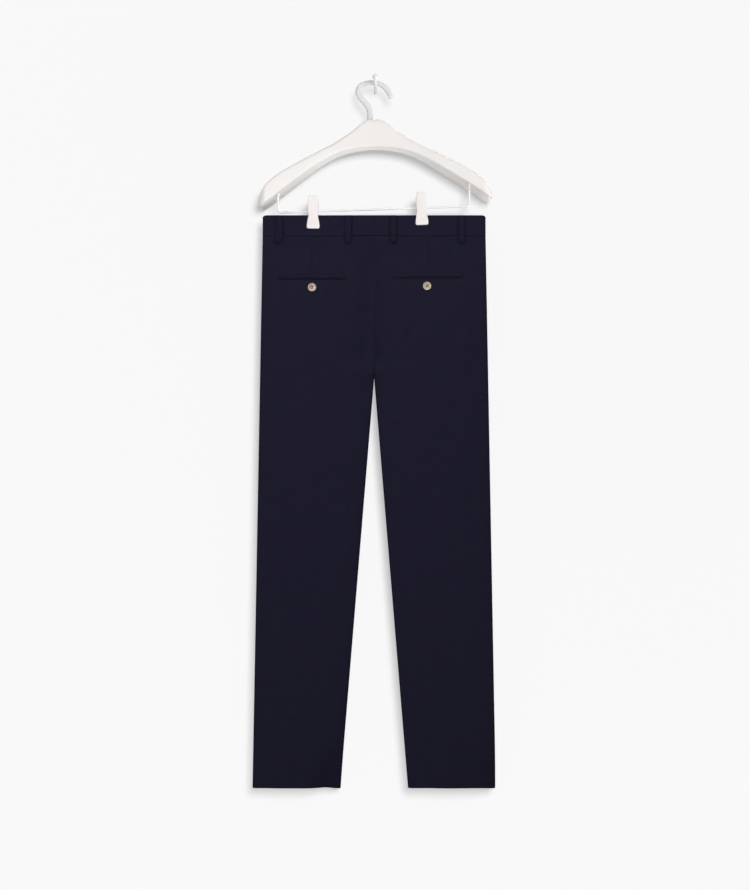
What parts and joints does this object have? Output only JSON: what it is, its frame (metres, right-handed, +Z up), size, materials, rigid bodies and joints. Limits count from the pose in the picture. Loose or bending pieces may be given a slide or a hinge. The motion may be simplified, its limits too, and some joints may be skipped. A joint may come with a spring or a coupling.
{
  "type": "chino trousers on a clip hanger with wall hook",
  "caption": "Straight-leg chino trousers hung flat by the waistband, back to the front, from a broad clip hanger on a wall hook.",
  "frame": {"origin": "where the wall hook enters the wall, on its axis", "axes": "+Z up, +Y into the wall, so the trousers' back faces -Y; +X towards the wearer's right leg"},
  "size_m": [0.4622, 0.0623, 1.352],
  "materials": {
    "cloth": "matt cotton twill, dark navy",
    "button": "mottled beige, horn-like",
    "zip_tape": "woven tape with a metal chain",
    "zip_metal": "plated",
    "hanger": "satin warm white",
    "hanger_hook": "satin white",
    "bar": "white coated wire",
    "wall_hook": "white coated rod"
  },
  "bodies": {
    "root": {"back_panel_left": "cloth", "back_panel_right": "cloth", "front_panel_left": "cloth", "front_panel_right": "cloth", "pocket_side_left": "cloth", "pocket_side_right": "cloth", "waistband_left": "cloth", "waistband_right": "cloth", "belt_loop_back_1": "cloth", "belt_loop_back_2": "cloth", "belt_loop_back_3": "cloth", "belt_loop_back_4": "cloth", "belt_loop_front_1": "cloth", "belt_loop_front_2": "cloth", "welt_left_upper": "cloth", "welt_left_lower": "cloth", "welt_right_upper": "cloth", "welt_right_lower": "cloth", "pocket_button_left": "button", "pocket_button_right": "button", "waist_button": "button", "fly_zip": "zip_tape", "zip_slider": "zip_metal", "hanger_body": "hanger", "clip_left_front_jaw": "hanger", "clip_left_rear_jaw": "hanger", "clip_left_barrel": "hanger", "clip_right_front_jaw": "hanger", "clip_right_rear_jaw": "hanger", "clip_right_barrel": "hanger", "hanger_hook": "hanger_hook", "hanger_bar": "bar", "wall_hook": "wall_hook"}
  },
  "joints": []
}
